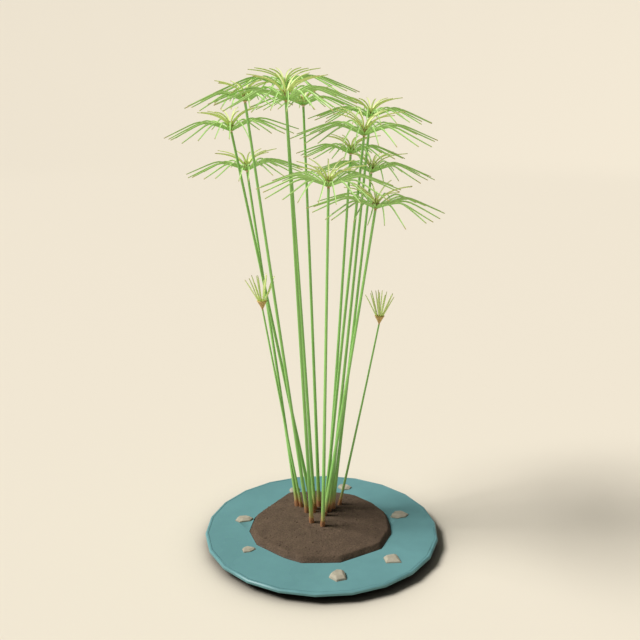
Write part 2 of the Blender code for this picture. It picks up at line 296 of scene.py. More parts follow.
def add_piece(name, bm, finishes, stands_for=(), sharp=None):
    """Make a bmesh a finished piece of the object, with its faces pointing outwards."""
    if bm.calc_volume(signed=True) < 0:
        bmesh.ops.reverse_faces(bm, faces=bm.faces)
    mesh = to_mesh(name, bm)
    for finish in finishes:
        mesh.materials.append(finish)
    if sharp is not None:
        mesh.shade_smooth()
        mesh.set_sharp_from_angle(angle=radians(sharp))
    piece = bpy.data.objects.new(name, mesh)
    link(piece)
    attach(piece, "root")
    if stands_for:
        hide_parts(*stands_for)
    return piece


# ---------------------------------------------------------------- materials

class Recipe:
    """A Principled material with short ways to add nodes to it."""

    def __init__(self, name, **sockets):
        self.material = bpy.data.materials.new(name)
        self.material.use_nodes = True
        self.tree = self.material.node_tree
        self.shader = self.tree.nodes["Principled BSDF"]
        for socket, value in sockets.items():
            self.shader.inputs[socket.replace("_", " ")].default_value = value

    def node(self, kind, **settings):
        """Add a node and set its own settings."""
        made = self.tree.nodes.new(kind)
        for key, value in settings.items():
            setattr(made, key, value)
        return made

    def feed(self, socket, source):
        """Link an output into a socket, or set the socket's value."""
        if isinstance(source, bpy.types.NodeSocket):
            self.tree.links.new(source, socket)
        elif source is not None:
            socket.default_value = source

    def done(self, body, gloss=None, normal=None):
        """Feed the shader its colour, roughness and normal, and give back the material."""
        for socket, source in (("Base Color", body), ("Roughness", gloss), ("Normal", normal)):
            self.feed(self.shader.inputs[socket], source)
        return self.material

    def stretched(self, vector, scale):
        """A vector, stretched."""
        mapping = self.node("ShaderNodeMapping")
        self.feed(mapping.inputs["Vector"], vector)
        self.feed(mapping.inputs["Scale"], scale)
        return mapping.outputs["Vector"]

    def place(self, scale=(1, 1, 1)):
        """Object coordinates, stretched."""
        return self.stretched(self.node("ShaderNodeTexCoord").outputs["Object"], scale)

    def attribute(self, name, scale=(1, 1, 1)):
        """A vector attribute of the mesh, stretched."""
        return self.stretched(self.node("ShaderNodeAttribute", attribute_name=name).outputs["Vector"], scale)

    def parts(self, vector):
        """The three parts of a vector."""
        split = self.node("ShaderNodeSeparateXYZ")
        self.feed(split.inputs[0], vector)
        return split.outputs[0], split.outputs[1], split.outputs[2]

    def noise(self, vector, scale, detail=4.0, roughness=0.55):
        """A noise value."""
        made = self.node("ShaderNodeTexNoise")
        self.feed(made.inputs["Vector"], vector)
        self.feed(made.inputs["Scale"], scale)
        self.feed(made.inputs["Detail"], detail)
        self.feed(made.inputs["Roughness"], roughness)
        return made.outputs["Fac"]

    def cells(self, vector, scale):
        """Distances in a pattern of cells."""
        made = self.node("ShaderNodeTexVoronoi", feature="F1")
        self.feed(made.inputs["Vector"], vector)
        self.feed(made.inputs["Scale"], scale)
        return made.outputs["Distance"]

    def times(self, a, b):
        """Two numbers multiplied."""
        return self.math("MULTIPLY", a, b)

    def plus(self, a, b):
        """Two numbers added."""
        return self.math("ADD", a, b)

    def math(self, operation, a, b=None):
        """A number worked out from one or two others."""
        made = self.node("ShaderNodeMath", operation=operation)
        self.feed(made.inputs[0], a)
        self.feed(made.inputs[1], b)
        return made.outputs[0]

    def spread(self, value, low, high, to_low=0.0, to_high=1.0):
        """A value stretched from one range to another and kept inside it."""
        made = self.node("ShaderNodeMapRange")
        for socket, number in zip(made.inputs[:5], (value, low, high, to_low, to_high)):
            self.feed(socket, number)
        return made.outputs[0]

    def ramp(self, value, *stops):
        """A colour from a value, by (position, colour) stops."""
        made = self.node("ShaderNodeValToRGB")
        elements = made.color_ramp.elements
        elements[0].position, elements[0].color = stops[0][0], (*stops[0][1], 1.0)
        elements[1].position, elements[1].color = stops[-1][0], (*stops[-1][1], 1.0)
        for position, colour in stops[1:-1]:
            elements.new(position).color = (*colour, 1.0)
        self.feed(made.inputs[0], value)
        return made.outputs[0]

    def mix(self, factor, a, b):
        """Two colours mixed."""
        made = self.node("ShaderNodeMix", data_type="RGBA", blend_type="MIX")
        self.feed(made.inputs[0], factor)
        self.feed(made.inputs[6], (*a, 1.0) if isinstance(a, tuple) else a)
        self.feed(made.inputs[7], (*b, 1.0) if isinstance(b, tuple) else b)
        return made.outputs[2]

    def bump(self, height, distance, strength=1.0, under=None):
        """A bumped normal."""
        made = self.node("ShaderNodeBump")
        self.feed(made.inputs["Strength"], strength)
        self.feed(made.inputs["Distance"], distance)
        self.feed(made.inputs["Height"], height)
        self.feed(made.inputs["Normal"], under)
        return made.outputs["Normal"]


def tint(colour, share):
    """A colour made lighter or darker."""
    return tuple(min(part * share, 1.0) for part in colour)


def glaze_material(colour):
    """Teal glaze: pooled and mottled, paler where it thins on the lip, with bare clay under the lip whose
    near-black colour is painted shade.
    """
    made = Recipe("teal_glaze", Specular_IOR_Level=0.13)
    where = made.place()
    x, y, z = made.parts(where)
    cloud = made.noise(where, 26.0, 5.0)
    speck = made.spread(made.noise(where, 900.0, 2.0), 0.70, 0.78)
    body = made.ramp(cloud, (0.30, tint(colour, 0.86)), (0.52, colour), (0.75, tint(colour, 1.12)))
    body = made.mix(made.times(speck, 0.35), body, tint(colour, 0.45))
    radius = made.math("SQRT", made.plus(made.times(x, x), made.times(y, y)))
    thin = made.spread(radius, 0.1985, 0.2010)
    high = made.spread(z, 0.0165, 0.0192)
    lip = made.times(thin, high)
    wavy = made.times(lip, made.spread(made.noise(where, 120.0, 3.0), 0.30, 0.62, 0.05, 0.30))
    body = made.mix(wavy, body, (0.20, 0.38, 0.38))
    edge = made.plus(z, made.times(made.noise(where, 70.0, 3.0), 0.0012))
    # Under the lip the glaze gives way to bare clay; its near-black colour is painted shade for the dark
    # under the overhang
    bare_and_painted_shade = made.spread(edge, 0.0138, 0.0146, 1.0, 0.0)
    fired = made.noise(where, 300.0, 4.0)
    clay_painted_shade = made.ramp(fired, (0.35, (0.022, 0.018, 0.014)), (0.7, (0.040, 0.032, 0.025)))
    gloss = made.spread(cloud, 0.3, 0.75, 0.25, 0.33)
    gloss = made.math("MAXIMUM", gloss, made.times(bare_and_painted_shade, 0.85))
    orange_peel = made.noise(where, 210.0, 2.0)
    return made.done(made.mix(bare_and_painted_shade, body, clay_painted_shade), gloss, made.bump(orange_peel, 0.12 * MM, 0.5))


def water_material(colour):
    """Still, slightly cloudy water over the teal glaze."""
    made = Recipe("water", IOR=1.33, Specular_IOR_Level=0.12)
    where = made.place()
    drift = made.noise(where, 9.0, 3.0)
    fine = made.noise(where, 60.0, 3.0)
    body = made.ramp(drift, (0.30, tint(colour, 0.93)), (0.5, colour), (0.72, tint(colour, 1.07)))
    body = made.mix(made.spread(fine, 0.35, 0.75, 0.0, 0.25), body, tint(colour, 0.85))
    gloss = made.spread(drift, 0.3, 0.7, 0.26, 0.34)
    ripple = made.plus(made.noise(where, 22.0, 2.0, 0.4), made.times(made.noise(where, 75.0, 1.0), 0.2))
    return made.done(body, gloss, made.bump(ripple, 0.3 * MM, 0.22))


def soil_material(colour):
    """Damp, crumbly soil, darker where it meets the water."""
    made = Recipe("soil", Specular_IOR_Level=0.25)
    where = made.place()
    z = made.parts(where)[2]
    clod = made.noise(where, 55.0, 6.0, 0.62)
    grain = made.noise(where, 420.0, 4.0, 0.6)
    crumb = made.cells(where, 330.0)
    body = made.ramp(clod, (0.28, tint(colour, 0.72)), (0.5, colour), (0.74, tint(colour, 1.28)))
    body = made.mix(made.spread(grain, 0.35, 0.72), body, tint(colour, 0.55))
    pale = made.spread(made.noise(where, 760.0, 1.0), 0.72, 0.80, 0.0, 0.55)
    body = made.mix(pale, body, (0.34, 0.27, 0.19))
    level = made.plus(z, made.times(clod, 0.004))
    wet = made.spread(level, 0.0215, 0.0245, 1.0, 0.0)
    body = made.mix(made.times(wet, 0.22), body, tint(colour, 0.40))
    gloss = made.spread(wet, 0.0, 1.0, 0.92, 0.45)
    coarse = made.bump(clod, 1.2 * MM, 0.6)
    return made.done(body, gloss, made.bump(made.math("SUBTRACT", grain, crumb), 0.5 * MM, 0.8, coarse))


def stone_material(colour):
    """Pale limestone with fine pits and grains, wet and darker at the water."""
    made = Recipe("stone", Specular_IOR_Level=0.35)
    where = made.place()
    z = made.parts(where)[2]
    patch = made.noise(where, 60.0, 5.0)
    grain = made.noise(where, 700.0, 3.0, 0.6)
    vein = made.spread(made.noise(made.place((1.0, 0.35, 2.0)), 160.0, 5.0, 0.7), 0.47, 0.53)
    body = made.ramp(patch, (0.3, tint(colour, 0.84)), (0.52, colour), (0.72, tint(colour, 1.12)))
    body = made.mix(made.times(vein, 0.16), body, (0.30, 0.24, 0.16))
    body = made.mix(made.spread(grain, 0.55, 0.75, 0.0, 0.5), body, tint(colour, 0.6))
    level = made.plus(z, made.times(patch, 0.0015))
    wet = made.spread(level, 0.0203, 0.0212, 1.0, 0.0)
    body = made.mix(made.times(wet, 0.5), body, tint(colour, 0.42))
    gloss = made.spread(wet, 0.0, 1.0, 0.8, 0.25)
    coarse = made.bump(patch, 0.6 * MM, 0.5)
    return made.done(body, gloss, made.bump(grain, 0.25 * MM, 0.7, coarse))


def stem_material(colour):
    """Ribbed green stem: brown, then pale at the foot, tan under the hub, with fine fibres along it."""
    made = Recipe("stem_green", Specular_IOR_Level=0.45)
    place = made.attribute("stem_place")
    x, y, along = made.parts(place)
    around = made.math("ARCTAN2", y, x)
    rib = made.math("COSINE", made.times(around, 15.0))
    fibre = made.noise(made.attribute("stem_place", (1.0, 1.0, 6.0)), 9.0, 4.0, 0.6)
    cloud = made.noise(made.attribute("stem_place", (0.3, 0.3, 9.0)), 2.0, 3.0)
    body = made.ramp(cloud, (0.3, tint(colour, 0.85)), (0.5, colour), (0.72, tint(colour, 1.15)))
    body = made.mix(made.spread(rib, -1.0, 1.0, 0.0, 0.22), body, tint(colour, 1.5))
    body = made.mix(made.spread(fibre, 0.45, 0.75, 0.0, 0.4), body, tint(colour, 0.65))
    foot = made.spread(along, 0.0, 0.09, 0.6, 0.0)
    body = made.mix(foot, body, (0.42, 0.55, 0.17))
    body = made.mix(made.spread(along, 0.016, 0.036, 0.75, 0.0), body, (0.52, 0.34, 0.13))
    from_head = made.node("ShaderNodeAttribute", attribute_name="from_head").outputs["Fac"]
    body = made.mix(made.spread(from_head, 0.0005, 0.0030, 0.75, 0.0), body, (0.46, 0.29, 0.11))
    gloss = made.spread(fibre, 0.3, 0.75, 0.36, 0.55)
    return made.done(body, gloss, made.bump(made.plus(rib, fibre), 0.10 * MM, 0.6))


def sheath_material(colour):
    """Dry papery leaf sheath: orange-brown, streaked lengthways, darker at the soil."""
    made = Recipe("sheath_brown", Specular_IOR_Level=0.3)
    streak = made.noise(made.attribute("stem_place", (1.6, 1.6, 18.0)), 5.0, 5.0, 0.65)
    along = made.parts(made.attribute("stem_place"))[2]
    body = made.ramp(streak, (0.28, tint(colour, 0.5)), (0.5, colour), (0.7, tint(colour, 1.7)))
    body = made.mix(made.spread(along, 0.0, 0.012, 0.55, 0.0), body, tint(colour, 0.35))
    body = made.mix(made.spread(along, 0.009, 0.016, 0.0, 0.75), body, (0.46, 0.42, 0.14))
    gloss = made.spread(streak, 0.3, 0.7, 0.6, 0.85)
    return made.done(body, gloss, made.bump(streak, 0.25 * MM, 0.8))


def ray_material(name, colour, keel, edge, root, tip, tip_start):
    """A ray: its own green, a darker groove and keel, thin brown edges, coloured root and dry tip."""
    made = Recipe(name, Specular_IOR_Level=0.4)
    across, along, chance = made.parts(made.attribute("ray_place"))
    streak = made.noise(made.attribute("ray_place", (3.0, 5.0, 40.0)), 1.0, 4.0, 0.6)
    body = made.ramp(chance, (0.0, tint(colour, 0.84)), (0.5, colour), (1.0, tint(colour, 1.10)))
    body = made.mix(made.spread(streak, 0.42, 0.72, 0.0, 0.30), body, tint(colour, 0.70))
    body = made.mix(made.spread(across, 0.35, 0.0, 0.0, 0.35), body, keel)
    body = made.mix(made.spread(across, 0.9, 1.5, 0.0, 0.9), body, keel)
    rim = made.times(made.spread(across, 0.65, 1.0), made.spread(across, 1.05, 1.5, 0.75, 0.0))
    body = made.mix(rim, body, edge)
    body = made.mix(made.spread(along, 0.02, 0.16, 0.85, 0.0), body, root)
    dry = made.spread(made.plus(along, made.times(chance, 0.05)), tip_start, tip_start + 0.07)
    body = made.mix(dry, body, tip)
    gloss = made.spread(streak, 0.3, 0.7, 0.40, 0.60)
    return made.done(body, gloss, made.bump(streak, 0.08 * MM, 0.5))


def hub_material(name, colour, foot, foot_share):
    """Scaly brown-green hub or bract cup, orange at its narrow foot, with dark seams between the scales."""
    made = Recipe(name, Specular_IOR_Level=0.3)
    where = made.place()
    scale = made.cells(where, 700.0)
    cloud = made.noise(where, 260.0, 4.0)
    height = made.parts(made.attribute("ray_place"))[2]
    body = made.ramp(cloud, (0.3, tint(colour, 0.62)), (0.5, colour), (0.72, tint(colour, 1.35)))
    body = made.mix(made.spread(height, foot_share, 0.0, 0.0, 0.9), body, foot)
    body = made.mix(made.spread(scale, 0.25, 0.7, 0.0, 0.35), body, tint(colour, 0.6))
    gloss = made.spread(cloud, 0.3, 0.7, 0.6, 0.8)
    return made.done(body, gloss, made.bump(scale, 0.3 * MM, 0.7))


def floor_material(colour):
    """Plain matt floor, with painted shade making it a little darker where something stands on it."""
    made = Recipe("floor_paint_and_painted_shade", Roughness=0.9, Specular_IOR_Level=0.1)
    # Ambient occlusion darkens the floor colour near things: painted contact shade
    painted_contact_shade = made.node("ShaderNodeAmbientOcclusion", samples=12)
    made.feed(painted_contact_shade.inputs["Color"], (*colour, 1.0))
    made.feed(painted_contact_shade.inputs["Distance"], 0.08)
    return made.done(painted_contact_shade.outputs["Color"])


# ---------------------------------------------------------------- dish, water, soil, stones

def build_dish(settings):
    """The glazed dish: flat foot, leaning underside, chamfered lip and flat floor."""
    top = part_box("dish")[1].z
    profile = in_mm(DISH_UNDERSIDE)
    profile += arc(DISH_R - 2.0 * MM, 15.5 * MM, 2.0 * MM, -60, 0, 3)
    profile += [(DISH_R, top - 1.8 * MM), (DISH_R - 2.2 * MM, top), (DISH_R - 5.0 * MM, top)]
    profile += in_mm(DISH_INSIDE)
    bm = spin_profile(profile, DISH_SIDES, DISH_TURN)
    piece = add_piece("glazed_dish", bm, [glaze_material(settings.glaze)], ["dish"], 16)
    soften = piece.modifiers.new("soft corners", "BEVEL")
    soften.width = settings.corner_round
    soften.segments = 2
    soften.limit_method = "ANGLE"
    soften.angle_limit = radians(12)
    soften.use_clamp_overlap = True
    soften.harden_normals = True
    return piece


def build_water(settings):
    """The water, with its skin drawn up where it meets the lip, the soil and the stones."""
    bm = merged_copy("water")
    level = max(v.co.z for v in bm.verts)
    skin = [f for f in bm.faces if f.normal.z > 0.9 and f.calc_center_median().z > level - 1 * MM]
    outer = {v for f in skin for v in f.verts}
    for width, drop in ((0.2, 0.34), (0.25, 0.12), (0.3, 0.0)):
        before = {v for f in skin for v in f.verts}
        bmesh.ops.inset_region(bm, faces=skin, thickness=width * MM, use_boundary=True, use_even_offset=True)
        for vert in {v for f in skin for v in f.verts} - before:
            vert.co.z = level + drop * settings.climb
    rim_r = max(Vector(vert.co.xy).length for vert in outer)
    for vert in outer:
        vert.co.z = level + settings.climb
        if Vector(vert.co.xy).length > 0.95 * rim_r:
            vert.co.xy *= 1 + settings.reach / rim_r
    bmesh.ops.recalc_face_normals(bm, faces=bm.faces)
    piece = add_piece("still_water", bm, [water_material(settings.colour)], ["water"], 30)
    for polygon in piece.data.polygons:
        polygon.use_smooth = abs(polygon.normal.z) < 0.9999
    return piece


def outline_reach(tree, angle, height):
    """How far out a solid reaches at a height, looking in from outside."""
    hit = tree.ray_cast(polar(angle, 0.5, height), polar(angle, -1.0))[0]
    return Vector(hit.xy).length


def lumps(place, size, seed):
    """A seeded lump height of about -1 to 1."""
    return noise.fractal(place / size + Vector((seed, seed * 1.7, seed * 0.3)), 0.9, 2.1, 4)


def build_mound(settings):
    """The mound: the CAD facets followed by a fine ring grid, roughened into crumbly soil."""
    tree = node_tree("soil_mound")
    low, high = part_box("soil_mound")
    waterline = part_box("water")[1].z
    ring_shares = [k / settings.rings for k in range(1, settings.rings + 1)]
    line = [(share * GRID_R, 0.0, 0.0) for share in [0.0, *ring_shares]]
    bm = spin_line(line, settings.around, 0.001 * MM)
    for vert in bm.verts:
        share = Vector(vert.co.xy).length / GRID_R
        if share < 1e-6:
            vert.co = (0, 0, high.z)
            continue
        angle = angle_of(vert.co)
        reach = outline_reach(tree, angle, waterline - 1 * MM) + 0.4 * MM
        eased = 1 - max(0.0, 1 - share) ** 1.25
        radius = reach * eased
        top = tree.ray_cast(polar(angle, min(radius, reach - 0.6 * MM), 1.0), Vector((0, 0, -1)))[0]
        if share > 0.999:
            vert.co = polar(angle, reach, waterline - 1.5 * MM)
        else:
            vert.co = polar(angle, radius, max(top.z, waterline - 1.0 * MM))
    bm.normal_update()
    for vert in bm.verts:
        share = min(1.0, max(0.0, (high.z - vert.co.z) / (high.z - waterline)))
        rough = settings.lump * (0.75 + 0.5 * share)
        push = lumps(vert.co, 14 * MM, 3.1) * 0.55 + lumps(vert.co, 4.5 * MM, 8.4) * 0.45
        vert.co += vert.normal * push * rough
    rim = [edge for edge in bm.edges if edge.is_boundary]
    skirt = only(bmesh.ops.extrude_edge_only(bm, edges=rim)["geom"], bmesh.types.BMVert)
    for vert in skirt:
        vert.co.z = low.z
    base = bm.faces.new(loop_order(skirt))
    bmesh.ops.recalc_face_normals(bm, faces=bm.faces)
    if base.normal.z > 0:
        base.normal_flip()
    return add_piece("mound_of_soil", bm, [soil_material(settings.colour)], ["soil_mound"], 60)


def loop_order(verts):
    """Verts of a ring round the axis, in order."""
    return sorted(verts, key=lambda v: -angle_of(v.co))


def build_crumbs(settings):
    """Crumbs of soil and grit scattered over the mound above the water."""
    chance = random.Random(21)
    tree = node_tree("soil_mound")
    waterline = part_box("water")[1].z
    crumb = bmesh.new()
    bmesh.ops.create_icosphere(crumb, subdivisions=1, radius=1.0)
    template = to_mesh("crumb", crumb)
    bm = bmesh.new()
    made = 0
    while made < settings.crumbs:
        angle = chance.uniform(0, tau)
        radius = CRUMB_REACH * sqrt(chance.random())
        top = tree.ray_cast(polar(angle, radius, 1.0), Vector((0, 0, -1)))[0]
        if top is None or top.z < waterline + 0.5 * MM:
            continue
        made += 1
        size = settings.crumb_size * (0.35 + 0.9 * chance.random() ** 3)
        corners = append_mesh(bm, template)[0]
        turn = Quaternion([chance.gauss(0, 1) for _ in range(4)]).normalized()
        squash = Vector((chance.uniform(0.7, 1.2), chance.uniform(0.7, 1.2), chance.uniform(0.55, 0.9)))
        for vert in corners:
            shape = vert.co * chance.uniform(0.75, 1.2)
            vert.co = top + (turn @ shape) * size * squash + Vector((0, 0, size * 0.25))
    bpy.data.meshes.remove(template)
    return add_piece("soil_crumbs", bm, [soil_material(tint(settings.colour, 1.1))], (), 50)


def build_stone(number, node, finish, settings):
    """One stone: the CAD chip with extra broken faces, worn edges and a rough skin."""
    chance = random.Random(50 + number)
    bm = merged_copy(node)
    low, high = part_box(node)
    centre = (low + high) / 2
    for _ in range(settings.breaks):
        lean = polar(chance.uniform(0, tau), 1.0, chance.uniform(0.9, 2.2)).normalized()
        reach = max((v.co - centre).dot(lean) for v in bm.verts)
        cut = centre + lean * (reach - chance.uniform(0.5, 1.3) * MM)
        made = bmesh.ops.bisect_plane(bm, geom=bm.verts[:] + bm.edges[:] + bm.faces[:], plane_co=cut,
                                      plane_no=lean, clear_outer=True)["geom_cut"]
        bmesh.ops.contextual_create(bm, geom=only(made, bmesh.types.BMEdge))
    for vert in bm.verts:
        out = Vector((vert.co.x - centre.x, vert.co.y - centre.y, 0.0))
        vert.co += out.normalized() * STONE_PUSH
    bmesh.ops.bevel(bm, geom=bm.edges[:], offset=settings.wear, segments=2, profile=0.5, affect="EDGES",
                    material=-1, clamp_overlap=True)
    bmesh.ops.triangulate(bm, faces=bm.faces[:])
    for _ in range(2):
        long_edges = [e for e in bm.edges if e.calc_length() > STONE_EDGE]
        bmesh.ops.subdivide_edges(bm, edges=long_edges, cuts=1, use_grid_fill=True)
        bmesh.ops.triangulate(bm, faces=bm.faces[:])
    bm.normal_update()
    for vert in bm.verts:
        vert.co += vert.normal * lumps(vert.co, 5 * MM, 2.0 + number) * settings.skin
    bmesh.ops.recalc_face_normals(bm, faces=bm.faces)
    return add_piece(node.replace("stone_", "chip_"), bm, [finish], [node], 20)


# ---------------------------------------------------------------- stems and sheaths

def build_stem(node, finish, settings):
    """One stem: three blunt corners, a slight taper and a faint bow."""
    foot, head = stem_ends(node)
    chance = random.Random(node)
    length = (head - foot).length
    thick = 1.0 if node.startswith("stem") else YOUNG_SHARE
    foot_r = settings.foot_radius * thick
    head_r = settings.head_radius * thick
    bm = extruded_tube(12, 20)
    layer = bm.verts.layers.float_vector.new("stem_place")
    from_head = bm.verts.layers.float.new("from_head")
    turn = chance.uniform(0, tau)
    bow = polar(chance.uniform(0, tau), settings.bow)
    place = axis_frame(foot, head)
    for vert in bm.verts:
        share = vert.co.z
        angle = angle_of(vert.co)
        radius = foot_r + (head_r - foot_r) * share ** 0.42
        radius *= 1 + 0.07 * cos(3 * (angle + turn))
        vert[layer] = (cos(angle), sin(angle), share * length)
        vert[from_head] = (1 - share) * length
        side = polar(angle, radius) + bow * sin(pi * share)
        vert.co = place @ (side + Vector((0, 0, share * (length + STEM_SINK) - STEM_SINK)))
    return add_piece("green_" + node, bm, [finish], [node], 40)


def build_sheath(node, stem_node, finish, settings):
    """The dry sheaths round a stem's foot: a sleeve with a slanting, pointed mouth and two outer scales."""
    foot, head = stem_ends(stem_node)
    chance = random.Random(node)
    axis = (head - foot).normalized()
    thick = 1.0 if stem_node.startswith("stem") else YOUNG_SHARE
    core = settings.foot_radius * thick
    bm = bmesh.new()
    layer = bm.verts.layers.float_vector.new("stem_place")
    place = axis_frame(foot - axis * 1.2 * MM, head)
    for gap, flare, height, point, span in SHEATH_SCALES:
        inner = core + gap * MM
        tall = height * chance.uniform(0.85, 1.1) * MM
        peak = point * chance.uniform(0.7, 1.2) * MM
        start = chance.uniform(0, tau)
        closed = span == tau
        ring = [bm.verts.new((0, 0, 0)) for _ in range(SHEATH_COLUMNS + (0 if closed else 1))]
        edges = [bm.edges.new(pair) for pair in zip(ring, ring[1:])]
        if closed:
            edges.append(bm.edges.new((ring[-1], ring[0])))
        rows = [ring]
        for _ in range(SHEATH_ROWS):
            made = bmesh.ops.extrude_edge_only(bm, edges=edges)["geom"]
            edges = only(made, bmesh.types.BMEdge)
            rows.append(only(made, bmesh.types.BMVert))
        for row_number, row in enumerate(rows):
            share = row_number / SHEATH_ROWS
            for column, vert in enumerate(row):
                along = column / SHEATH_COLUMNS
                angle = start + span * along
                mouth = tall + peak * (1 - abs(2 * along - 1)) ** 1.3
                if not closed:
                    mouth *= max(0.12, sin(pi * along)) ** 0.5
                radius = inner + flare * MM * (1 - share) ** 1.5 + (0.25 * MM * share if not closed else 0.0)
                vert.co = polar(angle, radius, mouth * share)
                vert[layer] = (cos(angle), sin(angle), mouth * share)
    faces = bm.faces[:]
    bmesh.ops.recalc_face_normals(bm, faces=faces)
    bmesh.ops.solidify(bm, geom=faces, thickness=0.22 * MM)
    bmesh.ops.recalc_face_normals(bm, faces=bm.faces)
    bmesh.ops.transform(bm, matrix=place, verts=bm.verts)
    return add_piece("dry_" + node, bm, [finish], [node], 45)


# ---------------------------------------------------------------- umbels

def ray_template():
    """A unit ray: a keeled strip from x = 0 to x = 1, drawn out step by step."""
    bm = bmesh.new()
    corners = [bm.verts.new((0.0, y, z)) for y, z in RAY_SECTION]
    bm.faces.new(corners)
    draw_out(bm, RAY_STEPS, (1 / RAY_STEPS, 0, 0))
    return to_mesh("ray", bm)


def lay_ray(bm, layer, template, path, width, thick, luck, finish):
    """Bend a unit ray along a path, tapering it at both ends."""
    corners, faces = append_mesh(bm, template)
    frames = []
    for k, point in enumerate(path):
        heading = (path[min(k + 1, len(path) - 1)] - path[max(k - 1, 0)]).normalized()
        side = Vector((0, 0, 1)).cross(heading)
        side = side.normalized() if side.length > 1e-4 else Vector((0, 1, 0))
        frames.append((point, side, heading.cross(side)))
    for vert in corners:
        share = vert.co.x
        point, side, up = frames[min(round(share * RAY_STEPS), len(frames) - 1)]
        root = min(1.0, 0.5 + 3.0 * share)
        tip = 1.0 - 0.45 * max(0.0, (share - 0.5) / 0.5) ** 2.2
        across = vert.co.y
        lift = vert.co.z
        vert.co = point + side * across * width / 2 * root * tip + up * lift * thick / 2 * max(tip, 0.35)
        vert[layer] = (abs(across) if lift > -0.5 else 2.0, share, luck)
    for face in faces:
        face.material_index = finish


def ray_path(shares, angle, reach, rise, sway):
    """A smooth path for a ray in the umbel's own frame."""
    points = [polar(angle + sway * out * out, out * reach, up * reach * rise) for out, up in shares]
    return smooth_points(points, RAY_STEPS)


def clear_ray(make, place, stems, laid):
    """The least turned path that clears other umbels, or else the one with the widest gap."""
    best = None
    widest = -1.0
    for dodge in DODGES:
        path = make(radians(dodge))
        world = [place @ point for point in path[2::2]]
        parts = list(zip(world, world[1:]))
        if any(line_gap(a, b, c, d) <= RAY_CLEARANCE for a, b in parts for c, d in stems):
            continue
        near = (line_gap(a, b, c, d) for a, b in parts for c, d in laid if (a - c).length < FAR_RAY)
        gap = min(near, default=FAR_RAY)
        if gap > RAY_GAP:
            return path
        if gap > widest:
            best, widest = path, gap
    return best or make(0.0)


def add_solid(bm, made, layer, finish):
    """Add a finished bmesh to another one; the layer keeps each corner's share of its height."""
    tall = max(vert.co.z for vert in made.verts)
    holder = to_mesh("part", made)
    corners, faces = append_mesh(bm, holder)
    for vert in corners:
        vert[layer] = (0.0, 0.0, vert.co.z / tall)
    for face in faces:
        face.material_index = finish
    bpy.data.meshes.remove(holder)


def head_frame(foot, head, lean):
    """A matrix just above a stem's head that leans by a share of the stem's lean."""
    axis = (head - foot).normalized()
    tilt = Quaternion().slerp(Vector((0, 0, 1)).rotation_difference(axis), lean)
    return Matrix.Translation(head + axis * 0.6 * MM) @ tilt.to_matrix().to_4x4()


def build_umbel(number, node, stem_lines, laid, template, finishes, settings):
    """One umbel: a scaly hub, a ring of arching rays and a tuft of short upright ones."""
    chance = random.Random(300 + number)
    foot, head = stem_lines[number]
    others = stem_lines[:number] + stem_lines[number + 1:]
    reach = max(Vector((p - head).xy).length for p in node_points(node))
    place = head_frame(foot, head, UMBEL_LEAN)
    bm = bmesh.new()
    layer = bm.verts.layers.float_vector.new("ray_place")
    half = settings.outer_rays // 2
    own = []
    for k in range(settings.outer_rays):
        longest = k % half == 0
        base = tau * k / settings.outer_rays + (0.0 if longest else radians(chance.uniform(-4.0, 4.0)))
        length = reach * (1.01 if longest else chance.uniform(0.92, 1.01))
        sway = 0.0 if longest else radians(chance.uniform(-5, 5))
        droop = chance.uniform(-0.035, 0.035) * length

        def outer_path(aside):
            points = ray_path(OUTER_PATH, base + aside, length, 1.0, sway)
            return [point + Vector((0, 0, settings.ray_root + droop * (step / RAY_STEPS) ** 2))
                    for step, point in enumerate(points)]

        path = clear_ray(outer_path, place, others, laid)
        own.append([place @ point for point in path[2::2]])
        lay_ray(bm, layer, template, path, settings.ray_width * chance.uniform(0.9, 1.1),
                settings.ray_thickness, chance.random(), 0)
    start = chance.uniform(0, tau)
    for k in range(settings.inner_rays):
        angle = start + tau * k / settings.inner_rays + radians(chance.uniform(-9, 9))
        lean = chance.uniform(0.90, 1.03) if k % 4 else 0.74
        points = tuple((out * lean, up) for out, up in INNER_PATH)
        rise = LOW_TUFTS.get(node, 1.0) * chance.uniform(0.9, 1.04)
        length = reach * chance.uniform(0.95, 1.02)
        sway = radians(chance.uniform(-8, 8))

        def inner_path(aside):
            lifted = Vector((0, 0, settings.ray_root + 2.0 * MM))
            return [point + lifted for point in ray_path(points, angle + aside, length, rise, sway)]

        path = clear_ray(inner_path, place, others, laid)
        own.append([place @ point for point in path[2::2]])
        lay_ray(bm, layer, template, path, settings.ray_width, settings.ray_thickness * 0.8,
                chance.random(), 1)
    add_solid(bm, spin_profile(in_mm(HUB_OUTLINE), 14), layer, 2)
    for k in range(settings.spikelets):
        angle = tau * k / settings.spikelets + chance.uniform(-0.3, 0.3)
        out = polar(angle, 1.0, chance.uniform(1.2, 2.6)).normalized()
        path = [Vector((0, 0, 7.5 * MM)) + out * settings.spikelet_length * share / RAY_STEPS
                for share in range(RAY_STEPS + 1)]
        lay_ray(bm, layer, template, path, 1.6 * MM, 1.8 * MM, chance.random(), 3)
    for line in own:
        laid.extend(zip(line, line[1:]))
    bmesh.ops.transform(bm, matrix=place, verts=bm.verts)
    return add_piece("rays_of_" + node, bm, finishes, [node], 50)


